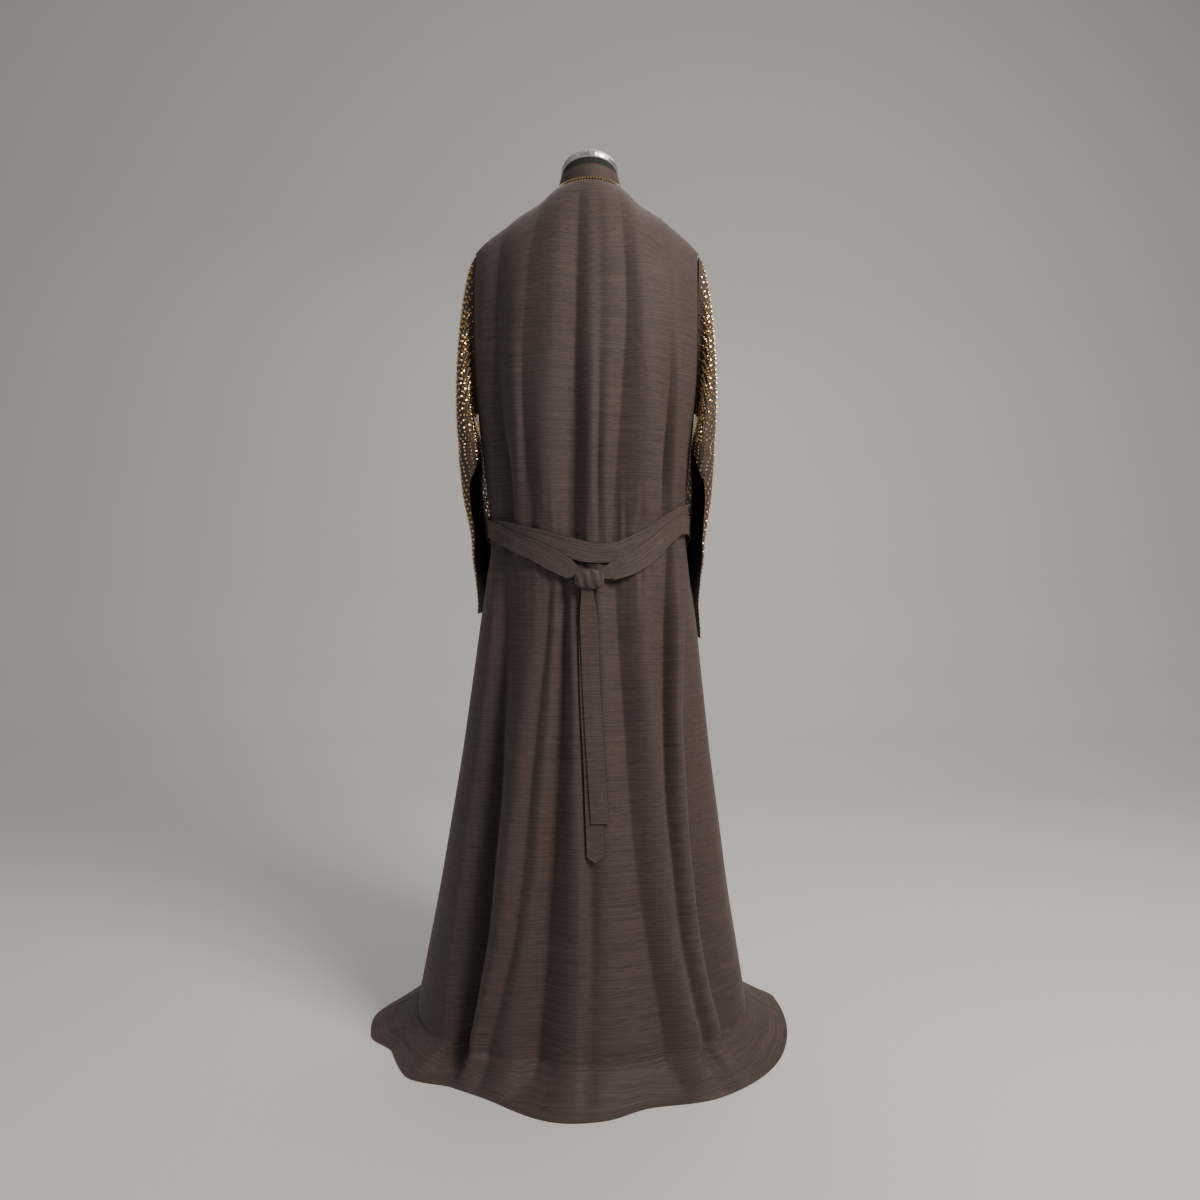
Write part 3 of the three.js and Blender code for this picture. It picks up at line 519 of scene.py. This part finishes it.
# ---- collar ------------------------------------------------------------------------------------------------
# A stand collar, cut with its threads upright, sewn round the neckline and open at the centre front.
COLLAR_ROWS = 14


def collar_height(turn, back_z, side_z, front_z):
    along = np.cos(np.radians(turn))
    return side_z + np.where(along > 0, back_z - side_z, front_z - side_z) * along**2


turn = np.linspace(179.4, -179.4, 160)[None, :]
t = np.linspace(0, 1, COLLAR_ROWS)[:, None]
radius = 49 + 4.2 * t + 0.5 * np.sin(np.pi * t)
low_edge = collar_height(turn, 1442, 1440, 1421) + 2.6
z = collar_height(turn, 1472, 1465, 1449) * (1 - t) + low_edge * t
angle = np.radians(turn)
collar_grid = np.stack(np.broadcast_arrays(radius * np.sin(angle), -radius * np.cos(angle), z), -1)
collar = cloth_mesh("abaya_collar", collar_grid, crepe, 1.8)
upright = collar.data.uv_layers["cloth"].data
for corner in upright:
    corner.uv = (corner.uv[1], corner.uv[0])
keep(collar, "crepe", "collar")

# ---- belt, loops, knot and ends ----------------------------------------------------------------------------
# One long belt with piped edges goes twice round the waist through a loop at each side and is tied behind.
BELT_WIDTH, END_WIDTH = 32, 28
BELT = [  # degrees wound from the knot, height, distance off the body
    (6.6, 787, 6.8), (13.7, 803, 6.8), (25, 821, 6.6), (44, 839, 6.6), (63, 856, 6.6), (75, 862.5, 6.6),
    (92, 868, 6.6), (120, 880, 5), (148, 886, 3.6), (212, 886, 3.6), (268, 888, 3.6), (296, 884, 3.6),
    (312, 874, 3.6), (328, 847, 3.6), (339, 831, 3.6), (346, 823, 3.6), (356, 820, 3.6), (372, 832, 3.6),
    (387, 844, 3.6), (423, 860, 3.6), (452, 861, 3.6), (480, 852, 3.6), (508, 850, 3.6), (572, 850, 3.6),
    (600, 853, 5), (628, 862, 6.6), (644, 869, 6.6), (656, 869, 6.6), (672, 853, 6.6), (687, 825, 6.6),
    (697, 807, 6.6), (706, 795, 6.8), (713.4, 785, 6.8),
]


def piping(v):
    """A raised cord just inside each long edge of a band, and a slight crown between them."""
    edge = np.exp(-(((v - 0.09) / 0.035) ** 2)) + np.exp(-(((v - 0.91) / 0.035) ** 2))
    return 0.55 * edge + 0.25 * np.sin(np.pi * v)


def on_outline(turn, z, around, up, out):
    place = outline(turn, z)
    moved = turn + np.degrees(around / np.hypot(place[..., 0], place[..., 1]))
    return outline(moved, z + up) + outward(moved, z + up) * out[..., None]


wound_at, belt_z, belt_out = (np.array(column) for column in zip(*BELT))
TUCK = 3.4  # degrees that each strand runs on under the knot
wound = np.linspace(wound_at[0] - TUCK, wound_at[-1] + TUCK, 900)[:, None]
v = np.linspace(0, 1, 23)[None, :]
turn = 180 - ((wound + 180) % 360)
middle_z = curve(wound_at, belt_z, wound)
place = outline(turn, middle_z)
run = -np.radians(2) * np.hypot(place[..., 0], place[..., 1])
rise = curve(wound_at, belt_z, wound + 1) - curve(wound_at, belt_z, wound - 1)
rise = np.where(wound < wound_at[0], 4, np.where(wound > wound_at[-1], -4, rise))
length = np.hypot(run, rise)
offset = (0.5 - v) * BELT_WIDTH
drawn_in = np.exp(-(((wound - 3) / 8) ** 2)) + np.exp(-(((wound - 717) / 8) ** 2))
pinch = 1 - 0.25 * np.exp(-(((wound - 314) / 12) ** 2)) - 0.4 * drawn_in
crease = 0.35 * wavy(wound, v, 0.25, 5, 41)
belt_grid = on_outline(
    turn + 0 * v, middle_z + 0 * v, offset * pinch * rise / length, -offset * pinch * run / length,
    curve(wound_at, belt_out, wound) + piping(v) + crease,
).transpose(1, 0, 2)
belt = cloth_mesh("abaya_belt", belt_grid, crepe_belt, 1.2)
keep(belt, "crepe", "belt")

LOOP_Z = [922, 916, 908, 877, 846, 838, 832]
LOOP_OUT = [3.3, 3.6, 10, 10.4, 10, 3.6, 3.3]
for side, name in ((-1, "belt_loop_left"), (1, "belt_loop_right")):
    step = np.linspace(0, len(LOOP_Z) - 1, 50)[:, None]
    ahead = side * np.linspace(-7, 7, 9)[None, :] - 0.5
    z = curve(range(len(LOOP_Z)), LOOP_Z, step) + 0 * ahead
    grid = beside(side, ahead + 0 * z, curve(range(len(LOOP_Z)), LOOP_OUT, step) + 0 * z, z)
    piece = cloth_mesh("abaya_" + name, grid, crepe_belt, 1.0)
    keep(piece, "crepe", name)

ENDS = {  # heights from the knot down, x and distance off the body, and how far the tip comes to a point
    "belt_end_front": ([760.8, 740, 600, 480, 396], [-5, -3, 3, 10, 16], [9.5, 7.6, 6.4, 6.4, 6.4], 0),
    "belt_end_under": ([760, 700, 600, 480, 346], [-2, -4, -2, 4, 9], [4.6, 3.4, 3.4, 3.4, 3.4], 20),
}
for name, (heights, middles, outs, tip) in ENDS.items():
    u, v = np.linspace(0, 1, 19)[None, :], np.linspace(0, 1, 120)[:, None]
    z = heights[0] + (heights[-1] - heights[0]) * v
    narrow = 1 - 0.35 * np.exp(-((v / 0.07) ** 2))
    x = curve(heights[::-1], middles[::-1], z) + (0.5 - u) * END_WIDTH * narrow
    low = z - v**8 * tip * (0.5 - np.abs(u - 0.5))
    half = np.where(x < 0, body("left", low), body("right", low))
    turn = np.degrees(np.sign(x) * np.arcsin(np.abs(x / half) ** (SQUARENESS / 2)))
    lift = curve(heights[::-1], outs[::-1], z) + 0.8 * piping(u) + 0.6 * wavy(u, v, 2.5, 9, 51 + tip)
    grid = outline(turn, low) + outward(turn, low) * lift[..., None]
    piece = cloth_mesh("abaya_" + name, grid, crepe_belt, 1.2)
    keep(piece, "crepe", name)

# The knot: two turns of the belt drawn tight, with creases that run aslant over it.
KNOT = {"x": -1, "z": 778, "half": 24, "tall": 16, "thick": 7.5, "out": 12.6}
across = np.radians(np.linspace(6, 174, 60))[:, None]
ring = np.linspace(0, 360, 73)[None, :-1]
size = np.sin(across) ** 0.55
s, c = share(ring, 2.4)
crossing = np.cos(across) * 2.6 + np.radians(ring) * 0.5
folds = 1 + 0.1 * np.sin(crossing * 4) * np.clip(c, 0, 1) + 0.03 * wavy(across * 3, np.radians(ring), 4, 2, 61)
base = outline(np.array(0.0), np.array(float(KNOT["z"])))[1] - KNOT["out"]
knot_grid = np.stack(np.broadcast_arrays(
    KNOT["x"] - KNOT["half"] * np.cos(across),
    base - KNOT["thick"] * size * c * folds,
    KNOT["z"] - KNOT["tall"] * size * s * folds,
), -1)
knot_mesh = bpy.data.meshes.new("abaya_belt_knot")
rows, columns = knot_grid.shape[:2]
number = np.arange(rows * columns).reshape(rows, columns)
around = np.roll(number, -1, 1)
faces = np.stack([number[:-1], around[:-1], around[1:], number[1:]], -1).reshape(-1, 4).tolist()
faces += [number[0, ::-1].tolist(), number[-1].tolist()]
knot_mesh.from_pydata((knot_grid.reshape(-1, 3) * MM).tolist(), [], faces)
layer = knot_mesh.uv_layers.new(name="cloth")
for loop in knot_mesh.loops:
    co = knot_mesh.vertices[loop.vertex_index].co
    layer.data[loop.index].uv = (co.x, co.z)
knot_mesh.shade_smooth()
knot_mesh.materials.append(crepe_belt)
knot = bpy.data.objects.new("abaya_belt_knot", knot_mesh)
bpy.context.scene.collection.objects.link(knot)
keep(knot, "crepe", "belt_knot")

# ---- dress form --------------------------------------------------------------------------------------------
# The padded torso has a matt black cover, the neck cap is brushed nickel, and the stand is satin steel.
cover = simple_material("form_cover", (0.008, 0.009, 0.012), 0.9)
nodes, links = cover.node_tree.nodes, cover.node_tree.links
place = nodes.new("ShaderNodeTexCoord")
knit = nodes.new("ShaderNodeTexNoise")
knit.inputs["Scale"].default_value = 1400
bump = nodes.new("ShaderNodeBump")
bump.inputs["Strength"].default_value, bump.inputs["Distance"].default_value = 0.4, 0.0005
links.new(place.outputs["Object"], knit.inputs["Vector"])
links.new(knit.outputs["Fac"], bump.inputs["Height"])
links.new(bump.outputs["Normal"], nodes["Principled BSDF"].inputs["Normal"])
nodes["Principled BSDF"].inputs["Sheen Weight"].default_value = 0.2


def brushed(name, colour, roughness, scale):
    material = simple_material(name, colour, roughness, 1.0)
    nodes, links = material.node_tree.nodes, material.node_tree.links
    place = nodes.new("ShaderNodeTexCoord")
    mapping = nodes.new("ShaderNodeMapping")
    mapping.inputs["Scale"].default_value = scale
    grain = nodes.new("ShaderNodeTexNoise")
    grain.inputs["Scale"].default_value, grain.inputs["Detail"].default_value = 1.0, 4.0
    spread = nodes.new("ShaderNodeMapRange")
    spread.inputs["To Min"].default_value, spread.inputs["To Max"].default_value = roughness - 0.1, roughness + 0.12
    bump = nodes.new("ShaderNodeBump")
    bump.inputs["Strength"].default_value, bump.inputs["Distance"].default_value = 0.15, 0.0002
    links.new(place.outputs["Object"], mapping.inputs["Vector"])
    links.new(mapping.outputs["Vector"], grain.inputs["Vector"])
    links.new(grain.outputs["Fac"], spread.inputs["Value"])
    links.new(spread.outputs["Result"], nodes["Principled BSDF"].inputs["Roughness"])
    links.new(grain.outputs["Fac"], bump.inputs["Height"])
    links.new(bump.outputs["Normal"], nodes["Principled BSDF"].inputs["Normal"])
    return material


nickel = brushed("neck_cap", (0.55, 0.53, 0.5), 0.32, (40, 1500, 1500))
steel = brushed("stand", (0.4, 0.4, 0.42), 0.36, (900, 900, 20))
FORM = {"form_torso": cover, "form_neck_cap": nickel, "form_pole": steel, "form_foot": steel}
for name, material in FORM.items():
    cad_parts[name].data.materials.clear()
    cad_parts[name].data.materials.append(material)

# ---- stones ------------------------------------------------------------------------------------------------
# Small stones are pressed on: a row of gold and a row of clear ones round the foot of the collar, and a
# staggered grid of gold ones all over the outside of the sleeves.
gold = simple_material("stone_gold", (0.72, 0.5, 0.24), 0.2, 1.0)
clear = simple_material("stone_clear", (0.85, 0.8, 0.7), 0.12, 0.75)


def stone_tree(size, material):
    """Puts one faceted stone on every point, with its table along the point's normal."""
    tree = bpy.data.node_groups.new("stones_" + material.name, "GeometryNodeTree")
    tree.interface.new_socket("Geometry", in_out="INPUT", socket_type="NodeSocketGeometry")
    tree.interface.new_socket("Stone Width", in_out="INPUT", socket_type="NodeSocketFloat").default_value = size
    tree.interface.new_socket("Geometry", in_out="OUTPUT", socket_type="NodeSocketGeometry")
    make = tree.nodes.new
    given, result = make("NodeGroupInput"), make("NodeGroupOutput")
    cone = make("GeometryNodeMeshCone")
    cone.inputs["Vertices"].default_value = 8
    cone.inputs["Radius Top"].default_value, cone.inputs["Radius Bottom"].default_value = 0.28, 0.5
    cone.inputs["Depth"].default_value = 0.34
    normal, aim = make("GeometryNodeInputNamedAttribute"), make("FunctionNodeAlignRotationToVector")
    normal.data_type = "FLOAT_VECTOR"
    normal.inputs["Name"].default_value = "facing"
    aim.axis = "Z"
    place, real = make("GeometryNodeInstanceOnPoints"), make("GeometryNodeRealizeInstances")
    paint = make("GeometryNodeSetMaterial")
    paint.inputs["Material"].default_value = material
    link = tree.links.new
    link(given.outputs["Geometry"], place.inputs["Points"])
    link(cone.outputs["Mesh"], place.inputs["Instance"])
    link(normal.outputs["Attribute"], aim.inputs["Vector"])
    link(aim.outputs["Rotation"], place.inputs["Rotation"])
    link(given.outputs["Stone Width"], place.inputs["Scale"])
    link(place.outputs["Instances"], real.inputs["Geometry"])
    link(real.outputs["Geometry"], paint.inputs["Geometry"])
    link(paint.outputs["Geometry"], result.inputs["Geometry"])
    return tree


def set_stones(name, places, facings, size, material):
    """Stones at these places in millimetres, turned the way the cloth faces there."""
    points = bpy.data.meshes.new(name + "_points")
    points.from_pydata((np.asarray(places) * MM).tolist(), [], [])
    facing_layer = points.attributes.new("facing", "FLOAT_VECTOR", "POINT")
    facing_layer.data.foreach_set("vector", np.asarray(facings, float).ravel())
    holder = bpy.data.objects.new(name + "_points", points)
    bpy.context.scene.collection.objects.link(holder)
    modifier = holder.modifiers.new("stones", "NODES")
    modifier.node_group = stone_tree(size * MM, material)
    bpy.context.view_layer.update()
    made = bpy.data.meshes.new_from_object(holder.evaluated_get(bpy.context.evaluated_depsgraph_get()))
    made.name = name
    bpy.data.objects.remove(holder)
    stones = bpy.data.objects.new(name, made)
    bpy.context.scene.collection.objects.link(stones)
    keep(stones, "crepe")
    return stones


def on_grid(grid, normals, columns, rows):
    """Places and facings at fractional columns and rows of a cloth grid."""
    c, r = np.clip(columns, 0, grid.shape[1] - 1.001), np.clip(rows, 0, grid.shape[0] - 1.001)
    i, j = c.astype(int), r.astype(int)
    a, b = (c - i)[:, None], (r - j)[:, None]
    upper = grid[j, i] * (1 - a) + grid[j, i + 1] * a
    lower = grid[j + 1, i] * (1 - a) + grid[j + 1, i + 1] * a
    return upper * (1 - b) + lower * b, normals[j, i]


SLEEVE_STONE = 4.4
ROW_STEP, COLUMN_STEP = 8.5, 17
HEM_MARGIN, SEAM_MARGIN = 4, 8
for side, name in ((-1, "left"), (1, "right")):
    grid = sleeves[side]
    normals = grid_normals(grid)
    lengths = np.concatenate([[0], np.cumsum(np.linalg.norm(np.diff(grid[:, grid.shape[1] // 2], axis=0), axis=1))])
    widths = np.linalg.norm(np.diff(grid, axis=1), axis=2).sum(1)
    columns, rows = [], []
    for k, down in enumerate(np.arange(SEAM_MARGIN, lengths[-1] - HEM_MARGIN, ROW_STEP)):
        row = np.interp(down, lengths, np.arange(len(lengths)))
        width = np.interp(row, np.arange(len(widths)), widths)
        count = int(width // COLUMN_STEP)
        if count > 2:
            spots = (np.arange(count) + (0.25 if k % 2 else 0.75)) / count
            columns.extend(spots * (grid.shape[1] - 1))
            rows.extend([row] * count)
    place, facing = on_grid(grid, normals, np.array(columns), np.array(rows))
    set_stones("stones_sleeve_" + name, place + facing * (WALL / 2 + 0.3), facing, SLEEVE_STONE, gold)

turn = np.radians(np.arange(-178, 178, 5.0))
for row, (radius, lift, size, material) in enumerate(((54.8, 1.8, 4.2, gold), (55.8, -3.0, 3.6, clear))):
    z = collar_height(np.degrees(turn), 1442, 1440, 1421) + lift + 2.4
    place = np.stack([radius * np.sin(turn), -radius * np.cos(turn), z], -1)
    facing = np.stack([np.sin(turn), -np.cos(turn), 0.35 + 0 * turn], -1)
    set_stones("stones_collar_%d" % row, place, facing, size, material)
